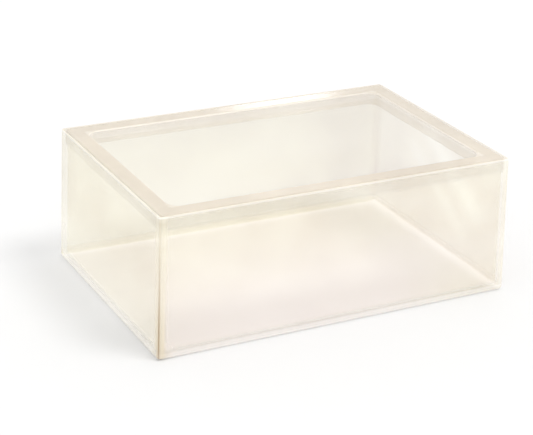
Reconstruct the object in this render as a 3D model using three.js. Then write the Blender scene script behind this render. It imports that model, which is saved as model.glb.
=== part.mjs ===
// Soap loaf mould: a thin-walled see-through tub with a thick rim frame inside its mouth.
// Millimetres, +Z up, origin at the centre of the underside, +X along the long side.
import * as THREE from "three";

// Outer size. The walls lean in slightly towards the mouth.
const BASE_LENGTH = 165;
const BASE_DEPTH = 111.6;
const HEIGHT = 61;
const WALL_LEAN = 1.3;

// Tub shell.
const WALL = 1.8;
const FLOOR = 1.8;
const OUTER_CORNER = 1.6;
const BASE_EDGE = 1.3;
const MOUTH_EDGE = 0.4;
const INNER_CORNER = 2.4;
const FLOOR_FILLET = 1.8;

// Step inside the mouth that the frame stands on.
const LIP_WALL = 1;
const LIP_CORNER = 2.2;
const LIP_EDGE = 0.2;

// Rim frame. Its top is level with the top of the walls.
const FRAME_DROP = 6;
const FRAME_INNER_FROM_FACE = 9;
const FRAME_GAP = 0.3;
const FRAME_OPENING_CORNER = 5;
const FRAME_TOP_ROUND = 1;
const FRAME_EDGE_ROUND = 0.4;

const CORNER_STEPS = 10;
const ARC_STEPS = 5;

const BASE_HALF = [BASE_LENGTH / 2, BASE_DEPTH / 2];
const MOUTH_HALF = BASE_HALF.map((h) => h - WALL_LEAN);
const FRAME_BOTTOM = HEIGHT - FRAME_DROP;
const STEP_Z = FRAME_BOTTOM - FRAME_GAP;

/** Half sizes of the outer face at height z, moved in by inset. */
function outerHalf(z, inset) {
  return BASE_HALF.map((h) => h - (WALL_LEAN * z) / HEIGHT - inset);
}

/** One rounded rectangle, counter-clockwise from above. */
function ring([halfX, halfY], radius, z) {
  const centres = [[1, -1], [1, 1], [-1, 1], [-1, -1]];
  const points = [];
  centres.forEach(([sx, sy], quarter) => {
    for (let i = 0; i <= CORNER_STEPS; i++) {
      const a = ((quarter - 1 + i / CORNER_STEPS) * Math.PI) / 2;
      points.push([
        sx * (halfX - radius) + radius * Math.cos(a),
        sy * (halfY - radius) + radius * Math.sin(a),
        z,
      ]);
    }
  });
  return points;
}

/** Rings along a quarter round between two directions given in the (outwards, up) plane. */
function quarterRound(half, corner, radius, outCentre, zCentre, fromDeg, toDeg) {
  const rings = [];
  for (let i = 0; i <= ARC_STEPS; i++) {
    const a = THREE.MathUtils.degToRad(fromDeg + ((toDeg - fromDeg) * i) / ARC_STEPS);
    const out = outCentre + radius * Math.cos(a);
    rings.push(ring(half.map((h) => h + out), corner + out, zCentre + radius * Math.sin(a)));
  }
  return rings;
}

/** Skin over a run of rings: capped at both ends, or joined end to end when closed. */
function skin(rings, closed) {
  const count = rings[0].length;
  const positions = rings.flat(2);
  const index = [];
  const spans = closed ? rings.length : rings.length - 1;
  for (let r = 0; r < spans; r++) {
    const low = r * count;
    const high = ((r + 1) % rings.length) * count;
    for (let j = 0; j < count; j++) {
      const k = (j + 1) % count;
      index.push(low + j, low + k, high + k, low + j, high + k, high + j);
    }
  }
  if (!closed) {
    const first = positions.length / 3;
    positions.push(0, 0, rings[0][0][2]);
    positions.push(0, 0, rings.at(-1)[0][2]);
    const last = (rings.length - 1) * count;
    for (let j = 0; j < count; j++) {
      const k = (j + 1) % count;
      index.push(first, k, j, last + j, last + k, first + 1);
    }
  }
  const geometry = new THREE.BufferGeometry();
  geometry.setAttribute("position", new THREE.Float32BufferAttribute(positions, 3));
  geometry.setIndex(index);
  geometry.computeVertexNormals();
  return geometry;
}

/** Rounded underside, leaning outer walls, stepped mouth, inner walls and filleted floor. */
function tubGeometry() {
  const lipHalf = MOUTH_HALF.map((h) => h - LIP_WALL);
  const floorWallZ = FLOOR + FLOOR_FILLET;
  const rings = [
    ...quarterRound(BASE_HALF, OUTER_CORNER, BASE_EDGE, -BASE_EDGE, BASE_EDGE, -90, 0),
    ...quarterRound(MOUTH_HALF, OUTER_CORNER, MOUTH_EDGE, -MOUTH_EDGE, HEIGHT - MOUTH_EDGE, 0, 90),
    ring(lipHalf.map((h) => h + LIP_EDGE), LIP_CORNER + LIP_EDGE, HEIGHT),
    ring(lipHalf, LIP_CORNER, HEIGHT - LIP_EDGE),
    ring(lipHalf, LIP_CORNER, STEP_Z),
    ring(outerHalf(STEP_Z, WALL), INNER_CORNER, STEP_Z),
    ...quarterRound(outerHalf(floorWallZ, WALL), INNER_CORNER, FLOOR_FILLET, -FLOOR_FILLET, floorWallZ, 0, -90),
  ];
  return skin(rings, false);
}

/** Flat-topped frame with a rounded mouth edge, running all the way round. */
function frameGeometry() {
  const outside = MOUTH_HALF.map((h) => h - LIP_WALL - FRAME_GAP);
  const opening = MOUTH_HALF.map((h) => h - FRAME_INNER_FROM_FACE);
  const outsideCorner = LIP_CORNER - FRAME_GAP;
  const e = FRAME_EDGE_ROUND;
  const t = FRAME_TOP_ROUND;
  const rings = [
    ...quarterRound(outside, outsideCorner, e, -e, FRAME_BOTTOM + e, -90, 0),
    ...quarterRound(outside, outsideCorner, e, -e, HEIGHT - e, 0, 90),
    ...quarterRound(opening, FRAME_OPENING_CORNER, t, t, HEIGHT - t, 90, 180),
    ...quarterRound(opening, FRAME_OPENING_CORNER, e, e, FRAME_BOTTOM + e, 180, 270),
  ];
  return skin(rings, true);
}

function piece(name, geometry, color, roughness) {
  const material = new THREE.MeshStandardMaterial({ color, roughness, metalness: 0 });
  const mesh = new THREE.Mesh(geometry, material);
  mesh.name = name;
  return mesh;
}

const part = new THREE.Group();
part.name = "soap_loaf_mould";
part.add(piece("tub", tubGeometry(), 0xf5eadb, 0.12));
part.add(piece("rim_frame", frameGeometry(), 0xe8dac8, 0.15));

export default part;
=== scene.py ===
"""Soap loaf mould: a thin, see-through tub with a thicker, cloudier frame lying in its mouth."""
import math

import bpy
from mathutils import Matrix, Vector, noise


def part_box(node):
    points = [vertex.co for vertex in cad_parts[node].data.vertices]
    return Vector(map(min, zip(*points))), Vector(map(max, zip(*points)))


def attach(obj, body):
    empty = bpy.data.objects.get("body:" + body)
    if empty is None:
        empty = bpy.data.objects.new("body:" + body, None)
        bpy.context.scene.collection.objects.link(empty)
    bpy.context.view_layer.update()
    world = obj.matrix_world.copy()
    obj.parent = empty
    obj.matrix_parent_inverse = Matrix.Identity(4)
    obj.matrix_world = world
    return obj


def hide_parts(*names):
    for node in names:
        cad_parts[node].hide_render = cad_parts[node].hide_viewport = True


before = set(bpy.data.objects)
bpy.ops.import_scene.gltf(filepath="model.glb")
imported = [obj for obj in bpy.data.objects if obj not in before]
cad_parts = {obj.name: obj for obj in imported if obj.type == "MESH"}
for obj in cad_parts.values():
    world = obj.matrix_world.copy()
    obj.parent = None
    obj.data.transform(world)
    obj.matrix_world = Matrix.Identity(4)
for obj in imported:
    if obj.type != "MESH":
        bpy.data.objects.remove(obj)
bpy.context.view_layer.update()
TUB_LOW, TUB_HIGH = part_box("tub")
FRAME_LOW, FRAME_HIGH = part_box("rim_frame")

MM = 0.001

# Sizes of the tub that its box doesn't tell, in metres.
WALL_LEAN = 1.3 * MM
WALL = 1.8 * MM
FLOOR = 1.8 * MM
OUTER_CORNER = 1.6 * MM
BASE_EDGE = 1.3 * MM
MOUTH_EDGE = 0.4 * MM
INNER_CORNER = 2.4 * MM
FLOOR_FILLET = 1.8 * MM
LIP_WALL = 1.0 * MM
LIP_CORNER = 2.2 * MM
LIP_EDGE = 0.2 * MM
LIP_STEP_DROP = 0.3 * MM

# Sizes of the frame.
OPENING_INSET = 7.7 * MM
FRAME_CORNER = 1.9 * MM
OPENING_CORNER = 5 * MM
OPENING_ROUND = 1.0 * MM
FRAME_EDGE = 0.4 * MM

# How finely the skins are divided.
CORNER_STEPS = 10
ARC_STEPS = 6
LONG_STEPS = 66
SHORT_STEPS = 44
WALL_STEPS = 24
KNEE_STEPS = 3
FRAME_TOP_STEPS = 8

# An extra point beside each end of a side, and an extra ring beside each end of a run of
# rings, as shares of one step. The end faces of a skin shrink towards their middle in turn.
SIDE_END = 0.3
RUN_END = 0.2
FILL_SHRINKS = (0.97, 0.9, 0.8, 0.65, 0.5, 0.35, 0.2, 0.08)

# The height of an extra ring on the outer wall, just above the top of the floor's fillet.
KNEE_HEIGHT = FLOOR + 1.1 * FLOOR_FILLET

# Moulding unevenness of the inner faces.
WAVE_HEIGHT = 0.09 * MM
WAVE_SIZE = 13 * MM
WAVE_START = Vector((3, 0, 0))
RIPPLE_HEIGHT = 0.02 * MM
RIPPLE_SIZE = 4 * MM

# Tolerances for telling which face a point lies on.
JUST_UNDER = 0.9
JUST_OVER = 1.1
BOTH_SKINS = 1.5 * WALL
OUTER_SKIN = 0.6 * WALL
CORNER_BAND = 1.05 * OUTER_CORNER

# The dark line down the front left corner is painted shade, standing in for the darkening
# that light bent at that near edge gives: half width, strength at the top, what the way down
# adds and how late it adds it, and the share that the other corners get.
CORNER_SHADE_WIDTH = 0.5 * MM
CORNER_TOP = 0.3
CORNER_DOWN = 1.1
CORNER_LATE = 1.7
OTHER_CORNERS = 0.06

# The deep spot of painted shade at the toe of that corner, and the mouth's lip.
TOE_SHADE_REACH = 5.5 * MM
TOE_DEEP = 0.4
LIP_DEEP = 0.5

# Painted light on the foot, the front fillet and the outer band of the underside.
FOOT_BRIGHT = 0.22
FOOT_REACH = FLOOR + 0.6 * FLOOR_FILLET
FILLET_BRIGHT = 0.5
UNDERSIDE_BAND = (2 * WALL, 4 * WALL)

# The floor's own tone ends part of the way up its fillet. A point counts as lying on the
# fillet up to this far across from the wall and up from the floor.
FLOOR_FADE = (FLOOR, FLOOR + 0.5 * FLOOR_FILLET)
FILLET_ACROSS = 1.05 * FLOOR_FILLET
FILLET_UP = 1.2 * FLOOR_FILLET

# The pinker tone, which low on the front wall is also painted light that lifts the shade there:
# where it comes in along the floor, its strength on the front wall at the left and the right,
# where one turns into the other, and the heights over which it ends.
BLUSH_FLOOR_X = (1.2 * TUB_LOW[0], 0.5 * TUB_LOW[0])
BLUSH_LEFT = 0.75
BLUSH_RIGHT = 0.15
BLUSH_FRONT_X = (20 * MM, 70 * MM)
BLUSH_FRONT_Z = (8 * MM, 52 * MM)

# The painted shade round the back right corner and on the right wall, whose lower part,
# under a slanting line, is the deepest.
DUSK_REACH = 55 * MM
DUSK_CORNER = 0.26
DUSK_BACK_FOOT = 0.5
DUSK_HIGH = 0.25
DUSK_LOW = 0.97
DUSK_SLANT = 0.35
DUSK_Z = (25 * MM, 45 * MM)
DUSK_RIGHT_X = (TUB_HIGH[0] - 3 * WALL, TUB_HIGH[0] - 1.5 * WALL)
DUSK_FRONT_Y = (TUB_LOW[1], TUB_LOW[1] + 10 * MM)

# The shaded tone of the back wall, and of the left corners from top to foot.
SHADE_BACK = 0.42
SHADE_BACK_Z = (6 * MM, 26 * MM)
SHADE_CORNER_TOP = 0.1
SHADE_CORNER_FOOT = 0.9
SHADE_CORNER_Z = (9 * MM, 46 * MM)

# How solid the upright corners and the foot look from outside.
SOLID_FRONT_LEFT = 1.0
SOLID_FRONT_RIGHT = 0.5
SOLID_BACK = 0.2
SOLID_FOOT = 0.4
SOLID_ACROSS = (WALL + 0.2 * INNER_CORNER, WALL + INNER_CORNER)
SOLID_FOOT_Z = (FLOOR + 0.5 * FLOOR_FILLET, FLOOR + 1.3 * FLOOR_FILLET)

# Painted light streaks on the right wall, standing in for light that comes through the wall:
# start and end as (y, z), half width, how far the second lies from the first, its share of
# strength and width, and where they come in and go out.
STREAK_START = (12 * MM, 56 * MM)
STREAK_END = (-54 * MM, 14 * MM)
STREAK_WIDTH = 6.5 * MM
STREAK_APART = 17 * MM
SECOND_STREAK = 0.7
SECOND_WIDTH = 0.6 * STREAK_WIDTH
STREAK_COMES_IN = (-8 * MM, 6 * MM)
STREAK_GOES_OUT = (44 * MM, 66 * MM)

# The paler foot of the left wall, painted light that lifts the shade on that side.
LEFT_FOOT_PALE = 0.8
LEFT_FOOT_Z = (6 * MM, 40 * MM)

# The frame's opening: how deep its upright face looks beside the flat top, how far down one
# turns into the other, and the painted highlight along its edge.
OPENING_DEEP = 0.2
OPENING_FADE = (0.1 * OPENING_ROUND, 0.7 * OPENING_ROUND)
OPENING_BRIGHT = 0.45
OPENING_BRIGHT_DROP = 0.3 * OPENING_ROUND
OPENING_STARTS = OPENING_INSET - 0.95 * OPENING_ROUND

# The parts of the frame's rounded edges that count as underside and as flat top.
RIM_UNDERSIDE = 0.5 * FRAME_EDGE
RIM_TOP = 0.6 * FRAME_EDGE

# Studio: places and sizes in metres, the softbox's power in watts and the sun's strength in
# watts per square metre. The softbox is aimed at the middle of the mould.
WORLD_LIGHT = 1.1
FLOOR_GREY = 0.70
FLOOR_ROUGHNESS = 0.8
FLOOR_SHINE = 0.1
FLOOR_REACH = 4.0
FLOOR_DROP = 0.4 * MM
GLOSS_PLACE = (0.56, 1.064, 0.456)
GLOSS_SIZE = (0.12, 0.06)
GLOSS_POWER = 0.22
GLOSS_AIM = Vector((0, 0, 0.03))
SUN_STRENGTH = 1.25
SUN_SPREAD = math.radians(22)
SUN_DIRECTION = Vector((-0.33, 0.33, -0.89))

# Camera: its place, the way it looks and the way its right side points, then its lens in mm
# on a sensor 36 mm wide.
CAMERA_PLACE = Vector((-0.3088, -0.5812, 0.3067))
CAMERA_LOOK = Vector((0.42427, 0.81615, -0.39229))
CAMERA_RIGHT = Vector((0.89203, -0.45124, 0.02598))
SENSOR = 36
LENS = 109.65


# ---------------------------------------------------------------- shapes

def arc(centre, radius, quarter):
    """A quarter circle, ends included; quarter 0 turns from -Y to +X, and each next one follows on."""
    points = []
    for i in range(CORNER_STEPS + 1):
        a = (quarter - 1 + i / CORNER_STEPS) * math.pi / 2
        points.append((centre[0] + radius * math.cos(a), centre[1] + radius * math.sin(a)))
    return points


def ring(half, radius, z):
    """Rounded rectangle, counter-clockwise from above, with its straight sides divided too."""
    points = []
    corners = ((1, -1), (1, 1), (-1, 1), (-1, -1))
    arcs = [
        arc((sx * (half[0] - radius), sy * (half[1] - radius)), radius, quarter)
        for quarter, (sx, sy) in enumerate(corners)
    ]
    for quarter, points_here in enumerate(arcs):
        points += points_here
        start, end = points_here[-1], arcs[(quarter + 1) % 4][0]
        steps = LONG_STEPS if quarter % 2 else SHORT_STEPS
        for t in [SIDE_END / steps] + [i / steps for i in range(1, steps)] + [1 - SIDE_END / steps]:
            points.append((start[0] + (end[0] - start[0]) * t, start[1] + (end[1] - start[1]) * t))
    return [Vector((x, y, z)) for x, y in points]


def grown(half, out):
    """Half sizes moved outwards on every side."""
    return (half[0] + out, half[1] + out)


def quarter_round(half, corner, radius, out, z, start, end):
    """Rings of a rounded edge, from the start to the end angle; its centre lies `out` from the outline."""
    rings = []
    for i in range(ARC_STEPS + 1):
        a = math.radians(start + (end - start) * i / ARC_STEPS)
        reach = out + radius * math.cos(a)
        rings.append(ring(grown(half, reach), corner + reach, z + radius * math.sin(a)))
    return rings


def between(first, last, steps):
    """The rings strictly between two rings of equal length, with one more close to each of them."""
    places = [RUN_END / steps] + [i / steps for i in range(1, steps)] + [1 - RUN_END / steps]
    return [[a.lerp(b, t) for a, b in zip(first, last)] for t in places]


def build_skin(name, rings, closed):
    """Skins a run of rings: joined end to end when closed, otherwise filled at both ends."""
    count = len(rings[0])
    points = [p for r in rings for p in r]
    faces = []
    for r in range(len(rings) if closed else len(rings) - 1):
        low, high = r * count, (r + 1) % len(rings) * count
        for j in range(count):
            k = (j + 1) % count
            faces.append((low + j, low + k, high + k, high + j))
    if not closed:
        for r, turn in ((0, -1), (len(rings) - 1, 1)):
            faces += flat_fill(points, rings[r], r * count, turn)
    mesh = bpy.data.meshes.new(name)
    mesh.from_pydata([tuple(p) for p in points], [], faces)
    mesh.validate()
    mesh.update()
    for polygon in mesh.polygons:
        polygon.use_smooth = True
    piece = bpy.data.objects.new(name, mesh)
    bpy.context.scene.collection.objects.link(piece)
    return piece


def flat_fill(points, outline, first, turn):
    """Fills an outline with shrinking copies of itself, ending in one face."""
    faces, count = [], len(outline)
    previous = list(range(first, first + count))
    for shrink in FILL_SHRINKS:
        start = len(points)
        for p in outline:
            points.append(Vector((p.x * shrink, p.y * shrink, p.z)))
        now = list(range(start, start + count))
        for j in range(count):
            k = (j + 1) % count
            face = (previous[j], previous[k], now[k], now[j])
            faces.append(face if turn > 0 else face[::-1])
        previous = now
    faces.append(tuple(previous) if turn > 0 else tuple(previous[::-1]))
    return faces


def uneven(point):
    """Smooth unevenness between 0 and 1."""
    return 0.5 + 0.5 * noise.noise(point / WAVE_SIZE + WAVE_START)


def waved(rings):
    """Moves inner rings inwards by the moulding unevenness."""
    moved = []
    for r in rings:
        new = []
        for p in r:
            inward = Vector((-p.x, -p.y, 0)).normalized()
            depth = WAVE_HEIGHT * uneven(p)
            depth += RIPPLE_HEIGHT * noise.noise(p / RIPPLE_SIZE)
            new.append(p + inward * depth)
        moved.append(new)
    return moved


def outer_half_at(z):
    """Half sizes of the tub's leaning outside at height z."""
    return grown((TUB_HIGH[0], TUB_HIGH[1]), -WALL_LEAN * z / TUB_HIGH[2])


def outer_rings(bottom, rim):
    """The outer wall between the foot edge and the mouth edge, finer below the knee."""
    knee_share = (KNEE_HEIGHT - BASE_EDGE) / (TUB_HIGH[2] - MOUTH_EDGE - BASE_EDGE)
    knee = [a.lerp(b, knee_share) for a, b in zip(bottom, rim)]
    return between(bottom, knee, KNEE_STEPS) + [knee] + between(knee, rim, WALL_STEPS)


def make_tub():
    """One closed skin: under the floor, up the outside, over the lip, down the inside, onto the floor."""
    base, top = outer_half_at(0), TUB_HIGH[2]
    mouth = outer_half_at(top)
    lip = grown(mouth, -LIP_WALL)
    step = FRAME_LOW[2] - LIP_STEP_DROP
    low = FLOOR + FLOOR_FILLET

    bottom = quarter_round(base, OUTER_CORNER, BASE_EDGE, -BASE_EDGE, BASE_EDGE, -90, 0)
    rim = quarter_round(mouth, OUTER_CORNER, MOUTH_EDGE, -MOUTH_EDGE, top - MOUTH_EDGE, 0, 90)
    stepped = [
        ring(grown(lip, LIP_EDGE), LIP_CORNER + LIP_EDGE, top),
        ring(lip, LIP_CORNER, top - LIP_EDGE),
        ring(lip, LIP_CORNER, step),
        ring(grown(outer_half_at(step), -WALL), INNER_CORNER, step),
    ]
    inside = grown(outer_half_at(low), -WALL)
    foot = quarter_round(inside, INNER_CORNER, FLOOR_FILLET, -FLOOR_FILLET, low, 0, -90)
    outer = outer_rings(bottom[-1], rim[0])
    inner = waved(between(stepped[-1], foot[0], WALL_STEPS))
    return build_skin("tub_body", bottom + outer + rim + stepped + inner + foot, closed=False)


def make_frame():
    """One closed loop of rings: up the outside, over the flat top, down the opening."""
    outside = (FRAME_HIGH[0], FRAME_HIGH[1])
    opening = grown(outside, -OPENING_INSET)
    low, high = FRAME_LOW[2], FRAME_HIGH[2]
    e, t = FRAME_EDGE, OPENING_ROUND
    rings = quarter_round(outside, FRAME_CORNER, e, -e, low + e, -90, 0)
    rings += quarter_round(outside, FRAME_CORNER, e, -e, high - e, 0, 90)
    inner_top = quarter_round(opening, OPENING_CORNER, t, t, high - t, 90, 180)
    rings += between(rings[-1], inner_top[0], FRAME_TOP_STEPS)
    rings += inner_top
    rings += quarter_round(opening, OPENING_CORNER, e, e, low + e, 180, 270)
    return build_skin("rim_frame_body", rings, closed=True)


# ---------------------------------------------------------------- shading guides
# A guide is a number between 0 and 1 at every point of a skin, worked out from its place.

def paint(piece, guides):
    """Stores each guide's number at every vertex, for the material to read."""
    for name, value_at in guides.items():
        layer = piece.data.attributes.new(name, "FLOAT", "POINT")
        for vertex, entry in zip(piece.data.vertices, layer.data):
            entry.value = value_at(vertex.co)


def near(distance, reach):
    """1 at no distance, falling off smoothly."""
    return math.exp(-((distance / reach) ** 2))


def ease(value, low, high):
    """0 below low, 1 above high, smooth between."""
    t = min(1.0, max(0.0, (value - low) / (high - low)))
    return t * t * (3 - 2 * t)


def fade(value, band):
    """1 before the band, 0 after it, smooth between."""
    return 1 - ease(value, *band)


def blend(first, last, share):
    """first where share is 0, last where it is 1."""
    return first + (last - first) * share


def from_face(p):
    """How far a point lies inside the nearest outer wall face, along X and along Y."""
    half = outer_half_at(p.z)
    return half[0] - abs(p.x), half[1] - abs(p.y)


def by_fillet(p):
    """True on the floor's fillet along the front and back walls, and on the underside below it."""
    inside = from_face(p)[1]
    return JUST_UNDER * WALL < inside < WALL + FILLET_ACROSS and p.z < FLOOR + FILLET_UP


def on_back_foot(p):
    """True on the fillet along the back wall, and on the underside below it."""
    return p.y > 0 and by_fillet(p)


def on_front_foot(p):
    """True on the fillet along the front wall, and on the underside below it."""
    return p.y < 0 and by_fillet(p)


def tub_depth_and_painted_shade(p):
    """More plastic to look through at the upright corners and mouth lip; painted shade on the front left
    corner and toe.
    """
    dx, dy = from_face(p)
    down = 1 - p.z / TUB_HIGH[2]
    front_left = p.x < 0 and p.y < 0
    corner = toe = lip = 0.0
    # Painted shade: the full dark line only on the front left corner, darkest towards the foot.
    if max(dx, dy) < CORNER_BAND:
        share = 1.0 if front_left else OTHER_CORNERS
        corner = share * near(dx - dy, CORNER_SHADE_WIDTH) * (CORNER_TOP + CORNER_DOWN * down ** CORNER_LATE)
    # Painted shade: the spot at the toe of the front left corner.
    if front_left:
        toe = TOE_DEEP * near(math.hypot(dx, dy, p.z), TOE_SHADE_REACH)
    if p.z > TUB_HIGH[2] - LIP_EDGE / 2 and min(dx, dy) > MOUTH_EDGE / 2:
        lip = LIP_DEEP
    return min(1.0, max(corner, toe, lip))


def tub_painted_light(p):
    """Painted light: a highlight along the mouth's edge, and a lighter foot, front fillet and underside
    rim.
    """
    if on_front_foot(p):
        return FILLET_BRIGHT
    inside = min(from_face(p))
    if inside > BASE_EDGE / 2:
        return fade(inside, UNDERSIDE_BAND) if p.z < FLOOR / 2 else 0.0
    mouth = near(p.z - (TUB_HIGH[2] - MOUTH_EDGE), MOUTH_EDGE)
    return max(mouth, FOOT_BRIGHT * near(p.z, FOOT_REACH))


def tub_floor(p):
    """1 on the inside of the floor, fading out up its fillet, except along the back."""
    if p.z < JUST_UNDER * FLOOR or on_back_foot(p):
        return 0.0
    return fade(p.z, FLOOR_FADE)


def tub_pink_and_painted_light(p):
    """A pinker tone on the floor, fading towards the left wall, and low on the front wall as painted
    light.
    """
    if p.z < FLOOR + FLOOR_FILLET and min(from_face(p)) > WALL:
        return tub_floor(p) * ease(p.x, *BLUSH_FLOOR_X)
    if p.y > 0 or from_face(p)[1] >= BOTH_SKINS:
        return 0.0
    return blend(BLUSH_LEFT, BLUSH_RIGHT, ease(p.x, *BLUSH_FRONT_X)) * fade(p.z, BLUSH_FRONT_Z)


def tub_painted_dusk_shade(p):
    """Painted shade on the right wall, round the back right corner and along the back fillet."""
    if on_back_foot(p):
        return DUSK_BACK_FOOT
    corner = DUSK_CORNER * near(math.hypot(p.x - TUB_HIGH[0], p.y - TUB_HIGH[1]), DUSK_REACH)
    wall = blend(DUSK_HIGH, DUSK_LOW, fade(p.z + DUSK_SLANT * p.y, DUSK_Z))
    return max(corner, wall * ease(p.x, *DUSK_RIGHT_X) * ease(p.y, *DUSK_FRONT_Y))


def tub_shade(p):
    """Where the tone is a little deeper: the back wall, its fillet and the left corners."""
    if on_back_foot(p):
        return 1.0
    dx, dy = from_face(p)
    back = corner = 0.0
    if p.y > 0 and dy < BOTH_SKINS:
        back = SHADE_BACK * ease(p.z, *SHADE_BACK_Z)
    if p.x < 0 and max(dx, dy) < WALL + INNER_CORNER:
        depth = blend(SHADE_CORNER_TOP, SHADE_CORNER_FOOT, fade(p.z, SHADE_CORNER_Z))
        corner = depth * tub_solid(p)
    return max(back, corner)


def tub_solid(p):
    """How solid the plastic is behind an outer face: most at the upright corners, some at the foot."""
    dx, dy = from_face(p)
    if min(dx, dy) > OUTER_SKIN:
        return 0.0
    share = SOLID_BACK
    if p.y < 0:
        share = SOLID_FRONT_LEFT if p.x < 0 else SOLID_FRONT_RIGHT
    return max(share * fade(max(dx, dy), SOLID_ACROSS), SOLID_FOOT * fade(p.z, SOLID_FOOT_Z))


def tub_streak_and_painted_light(p):
    """Painted light: two pale streaks down the right wall, and the paler foot of the left wall."""
    if from_face(p)[0] > BOTH_SKINS:
        return 0.0
    if p.x < 0:
        return LEFT_FOOT_PALE * fade(p.z, LEFT_FOOT_Z)
    slope = Vector((STREAK_END[0] - STREAK_START[0], STREAK_END[1] - STREAK_START[1])).normalized()
    y, z = p.y - STREAK_START[0], p.z - STREAK_START[1]
    off = y * slope.y - z * slope.x
    along = y * slope.x + z * slope.y
    both = near(off, STREAK_WIDTH) + SECOND_STREAK * near(off + STREAK_APART, SECOND_WIDTH)
    return min(1.0, both) * ease(along, *STREAK_COMES_IN) * fade(along, STREAK_GOES_OUT)


def tub_clear(p):
    """1 on the step and lip, where the frame lies against the tub, and on the front fillet."""
    inside = min(from_face(p))
    behind = JUST_UNDER * LIP_WALL < inside < JUST_OVER * WALL and p.z > FRAME_LOW[2] - 2 * LIP_STEP_DROP
    return 1.0 if behind or on_front_foot(p) else 0.0


def from_rim_side(p):
    """How far a point lies inside the nearest outer side of the frame."""
    return min(FRAME_HIGH[0] - abs(p.x), FRAME_HIGH[1] - abs(p.y))


def rim_deep(p):
    """1 on the flat top, less on the face that rings the opening."""
    return blend(1.0, OPENING_DEEP, ease(FRAME_HIGH[2] - p.z, *OPENING_FADE))


def rim_clear(p):
    """1 on the outer face and underside, where the frame lies against the tub."""
    hidden = from_rim_side(p) < FRAME_EDGE or p.z < FRAME_LOW[2] + RIM_UNDERSIDE
    return 1.0 if hidden and p.z < FRAME_HIGH[2] - RIM_TOP else 0.0


def rim_painted_light(p):
    """A painted highlight along the rounded inner edge of the opening."""
    if from_rim_side(p) < OPENING_STARTS:
        return 0.0
    return OPENING_BRIGHT * near(p.z - (FRAME_HIGH[2] - OPENING_BRIGHT_DROP), OPENING_BRIGHT_DROP)


TUB_GUIDES = {
    "deep": tub_depth_and_painted_shade,
    "painted_light": tub_painted_light,
    "on_floor": tub_floor,
    "pink_and_painted_light": tub_pink_and_painted_light,
    "painted_dusk_shade": tub_painted_dusk_shade,
    "shade": tub_shade,
    "streak_and_painted_light": tub_streak_and_painted_light,
    "solid": tub_solid,
    "clear": tub_clear,
}

RIM_GUIDES = {
    "deep": rim_deep,
    "painted_light": rim_painted_light,
    "clear": rim_clear,
}


# ---------------------------------------------------------------- materials

# Pale colour of the flow streaks in the noise, and of the painted light on the tub's walls.
TUB_STREAK_AND_PAINTED_LIGHT = (1.0, 0.97, 0.86)

# Colours by name; the tones are laid over them in turn, each where its guide says, and some of
# them are painted shade and painted light; the list after the alpha says what each guide adds
# to the opacity of one surface.
TUB_LOOK = {
    "pale": (0.98, 0.94, 0.76),
    "deep": (0.80, 0.73, 0.57),
    "streak_and_painted_light": TUB_STREAK_AND_PAINTED_LIGHT,
    "tones": (
        # Painted shade on the right wall, round the back right corner and along the back fillet.
        ("painted_dusk_shade", (0.64, 0.49, 0.38), "MIX"),
        # Painted light: the streaks on the right wall and the paler left foot.
        ("streak_and_painted_light", TUB_STREAK_AND_PAINTED_LIGHT, "MIX"),
        ("on_floor", (0.90, 0.84, 0.78), "MIX"),
        # Pinker, and low on the front wall painted light.
        ("pink_and_painted_light", (0.97, 0.89, 0.89), "MIX"),
        ("shade", (0.80, 0.76, 0.55), "MULTIPLY"),
    ),
    # The deeper colour of thick plastic, and of the painted shade on the front left corner and toe.
    "thick": (0.40, 0.29, 0.19),
    # Colour of the painted highlights and painted light.
    "painted_light": (0.98, 0.96, 0.92),
    "alpha": 0.235,
    "thicker": (("deep", 0.75), ("painted_light", 0.20), ("on_floor", 0.08), ("solid", 0.24)),
    "roughness": 0.30,
    "shine": 0.22,
}

FRAME_LOOK = {
    "pale": (0.86, 0.79, 0.68),
    "deep": (0.76, 0.67, 0.55),
    "streak_and_painted_light": (0.93, 0.89, 0.80),
    "tones": (),
    "thick": (0.56, 0.49, 0.395),
    # Colour of the painted highlight along the opening's edge.
    "painted_light": (0.93, 0.89, 0.82),
    "alpha": 0.16,
    "thicker": (("deep", 0.55), ("painted_light", 0.15)),
    "roughness": 0.17,
    "shine": 0.4,
}

# Noise shared by both plastics, as scale, detail and roughness, with the band of it that shows.
CLOUD_NOISE = (24.0, 4.0, 0.6)
CLOUD_BAND = (0.36, 0.64)
GRAIN_NOISE = (900.0, 2.0, 0.5)
GRAIN_BAND = (0.42, 0.62)
GRAIN_SHARE = 0.22
FLOW_NOISE = (30.0, 2.0, 0.5)
FLOW_STRETCH = (0.35, 0.9, 1.3)
FLOW_TURN = (0.0, 0.7, 0.3)
FLOW_BAND = (0.52, 0.72)
FLOW_SHARE = 0.6
MARK_NOISE = (260.0, 3.0, 0.6)
GLOSS_BAND = (0.3, 0.75)

# Other values shared by both plastics.
THICK_SPREAD = 0.08
CLEAR_CUT = 0.5
GLOSS_SPREAD = (0.88, 1.15)
MARK_STRENGTH = 0.03
MARK_DEPTH = 0.1 * MM
PLASTIC_IOR = 1.42


def nodes_of(material):
    material.use_nodes = True
    tree = material.node_tree
    shader = next(n for n in tree.nodes if n.type == "BSDF_PRINCIPLED")
    return tree, shader


def noise_node(tree, place, scale, detail, roughness, stretch=(1, 1, 1), turn=(0, 0, 0)):
    """Noise over the piece's own coordinates, stretched and turned."""
    mapping = tree.nodes.new("ShaderNodeMapping")
    mapping.inputs["Scale"].default_value = stretch
    mapping.inputs["Rotation"].default_value = turn
    tree.links.new(place.outputs["Object"], mapping.inputs["Vector"])
    node = tree.nodes.new("ShaderNodeTexNoise")
    node.inputs["Scale"].default_value = scale
    node.inputs["Detail"].default_value = detail
    node.inputs["Roughness"].default_value = roughness
    tree.links.new(mapping.outputs["Vector"], node.inputs["Vector"])
    return node.outputs["Fac"]


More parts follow.
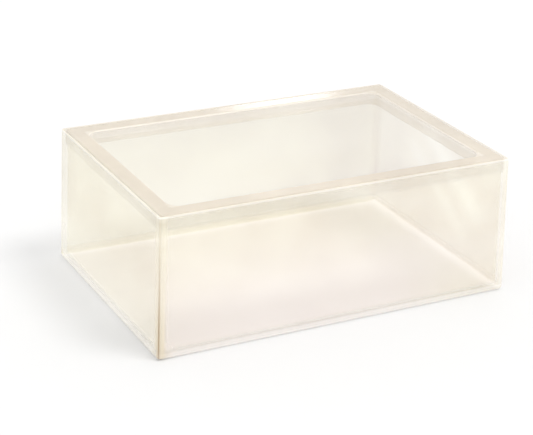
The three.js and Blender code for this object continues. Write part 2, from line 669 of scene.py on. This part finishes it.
def ramp(tree, source, band, first, last):
    """The first colour before the band, the last colour after it."""
    node = tree.nodes.new("ShaderNodeValToRGB")
    for element, position, color in zip(node.color_ramp.elements, band, (first, last)):
        element.position = position
        element.color = (*color, 1)
    tree.links.new(source, node.inputs["Fac"])
    return node.outputs["Color"]


def grey(value):
    return (value, value, value)


def guide(tree, name):
    """The number that paint() stored under this name; 0 on a piece that has none."""
    node = tree.nodes.new("ShaderNodeAttribute")
    node.attribute_name = name
    return node.outputs["Fac"]


def mixed(tree, share, first, second, blend_type="MIX"):
    """first where share is 0, second (an output or a plain colour) where it is 1."""
    node = tree.nodes.new("ShaderNodeMix")
    node.data_type = "RGBA"
    node.blend_type = blend_type
    tree.links.new(share, node.inputs["Factor"])
    tree.links.new(first, node.inputs[6])
    if isinstance(second, tuple):
        node.inputs[7].default_value = (*second, 1)
    else:
        tree.links.new(second, node.inputs[7])
    return node.outputs[2]


def math_node(tree, operation, first, second, clamp=False):
    node = tree.nodes.new("ShaderNodeMath")
    node.operation = operation
    node.use_clamp = clamp
    tree.links.new(first, node.inputs[0])
    tree.links.new(second, node.inputs[1])
    return node.outputs[0]


def scaled(tree, source, factor, offset=0.0):
    """The source times the factor, plus the offset."""
    node = tree.nodes.new("ShaderNodeMath")
    node.operation = "MULTIPLY_ADD"
    tree.links.new(source, node.inputs[0])
    node.inputs[1].default_value = factor
    node.inputs[2].default_value = offset
    return node.outputs[0]


def plastic_color(tree, place, look):
    """Cloudy patches, fine grain and long flow streaks, then tones, thick places and edges, with painted
    shade and light.
    """
    cloud = noise_node(tree, place, *CLOUD_NOISE)
    grain = noise_node(tree, place, *GRAIN_NOISE)
    flow = noise_node(tree, place, *FLOW_NOISE, FLOW_STRETCH, FLOW_TURN)
    in_grain = ramp(tree, grain, GRAIN_BAND, grey(0), grey(GRAIN_SHARE))
    in_flow = ramp(tree, flow, FLOW_BAND, grey(0), grey(FLOW_SHARE))

    color = ramp(tree, cloud, CLOUD_BAND, look["deep"], look["pale"])
    color = mixed(tree, in_grain, color, look["deep"])
    color = mixed(tree, in_flow, color, look["streak_and_painted_light"])
    for name, tone, blend_type in look["tones"]:
        color = mixed(tree, guide(tree, name), color, tone, blend_type)
    # The thick colour, which on the tub's front left corner and toe is painted shade.
    darker = tuple((1 - THICK_SPREAD) * c for c in look["thick"])
    lighter = tuple((1 + THICK_SPREAD) * c for c in look["thick"])
    color = mixed(tree, guide(tree, "deep"), color, ramp(tree, cloud, CLOUD_BAND, darker, lighter))
    # Painted highlights and painted light go on last.
    return mixed(tree, guide(tree, "painted_light"), color, look["painted_light"])


def plastic_alpha(tree, look):
    """How opaque one surface is: the same all over, but for what the guides add or take away."""
    (thickest, most), *others = look["thicker"]
    alpha = scaled(tree, guide(tree, thickest), most, look["alpha"])
    for name, amount in others:
        alpha = math_node(tree, "ADD", alpha, scaled(tree, guide(tree, name), amount), clamp=True)
    return math_node(tree, "MULTIPLY", alpha, scaled(tree, guide(tree, "clear"), -CLEAR_CUT, 1.0))


def plastic(name, look):
    """Cream see-through plastic with fine marks in its gloss."""
    material = bpy.data.materials.new(name)
    tree, shader = nodes_of(material)
    place = tree.nodes.new("ShaderNodeTexCoord")
    tree.links.new(plastic_color(tree, place, look), shader.inputs["Base Color"])
    tree.links.new(plastic_alpha(tree, look), shader.inputs["Alpha"])

    marks = noise_node(tree, place, *MARK_NOISE)
    smooth, rough = (grey(look["roughness"] * share) for share in GLOSS_SPREAD)
    tree.links.new(ramp(tree, marks, GLOSS_BAND, smooth, rough), shader.inputs["Roughness"])
    bump = tree.nodes.new("ShaderNodeBump")
    bump.inputs["Strength"].default_value = MARK_STRENGTH
    bump.inputs["Distance"].default_value = MARK_DEPTH
    tree.links.new(marks, bump.inputs["Height"])
    tree.links.new(bump.outputs["Normal"], shader.inputs["Normal"])
    shader.inputs["IOR"].default_value = PLASTIC_IOR
    shader.inputs["Specular IOR Level"].default_value = look["shine"]
    return material


def white_floor():
    material = bpy.data.materials.new("studio_white")
    shader = nodes_of(material)[1]
    shader.inputs["Base Color"].default_value = (*grey(FLOOR_GREY), 1)
    shader.inputs["Roughness"].default_value = FLOOR_ROUGHNESS
    shader.inputs["Specular IOR Level"].default_value = FLOOR_SHINE
    return material


# ---------------------------------------------------------------- studio

def make_floor():
    mesh = bpy.data.meshes.new("studio_floor")
    corners = [(x * FLOOR_REACH, y * FLOOR_REACH, 0) for x, y in ((-1, -1), (1, -1), (1, 1), (-1, 1))]
    mesh.from_pydata(corners, [], [(0, 1, 2, 3)])
    floor = bpy.data.objects.new("studio_floor", mesh)
    floor.location.z = -FLOOR_DROP
    floor.data.materials.append(white_floor())
    bpy.context.scene.collection.objects.link(floor)


def hang(name, light, direction):
    """Adds a light to the scene, shining in the given direction."""
    lamp = bpy.data.objects.new(name, light)
    lamp.rotation_euler = direction.to_track_quat("-Z", "Y").to_euler()
    bpy.context.scene.collection.objects.link(lamp)
    return lamp


def make_softbox():
    """A small softbox behind the mould, whose gloss shows on the back of the frame."""
    light = bpy.data.lights.new("gloss_back", "AREA")
    light.shape = "RECTANGLE"
    light.size, light.size_y = GLOSS_SIZE
    light.energy = GLOSS_POWER
    lamp = hang("gloss_back", light, GLOSS_AIM - Vector(GLOSS_PLACE))
    lamp.location = GLOSS_PLACE


def make_sun():
    """A wide, soft key light from the front right, which throws the shadow to the left."""
    light = bpy.data.lights.new("key_right", "SUN")
    light.energy = SUN_STRENGTH
    light.angle = SUN_SPREAD
    hang("key_right", light, SUN_DIRECTION)


def make_studio():
    world = bpy.data.worlds.new("studio")
    world.use_nodes = True
    background = world.node_tree.nodes["Background"]
    background.inputs["Color"].default_value = (1.0, 1.0, 1.0, 1)
    background.inputs["Strength"].default_value = WORLD_LIGHT
    bpy.context.scene.world = world
    make_floor()
    make_softbox()
    make_sun()
    bpy.context.scene.view_settings.view_transform = "Standard"


def make_camera():
    data = bpy.data.cameras.new("camera")
    data.sensor_width = SENSOR
    data.lens = LENS
    camera = bpy.data.objects.new("camera", data)
    look = CAMERA_LOOK.normalized()
    right = (CAMERA_RIGHT - look * CAMERA_RIGHT.dot(look)).normalized()
    up = right.cross(look)
    turn = Matrix((right, up, -look)).transposed()
    camera.matrix_world = Matrix.Translation(CAMERA_PLACE) @ turn.to_4x4()
    bpy.context.scene.collection.objects.link(camera)
    bpy.context.scene.camera = camera


# ---------------------------------------------------------------- the scene

def main():
    tub = make_tub()
    paint(tub, TUB_GUIDES)
    tub.data.materials.append(plastic("tub_plastic", TUB_LOOK))
    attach(tub, "tub_body")
    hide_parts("tub")

    rim = make_frame()
    paint(rim, RIM_GUIDES)
    rim.data.materials.append(plastic("frame_plastic", FRAME_LOOK))
    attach(rim, "frame_body")
    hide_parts("rim_frame")

    make_studio()
    make_camera()


main()
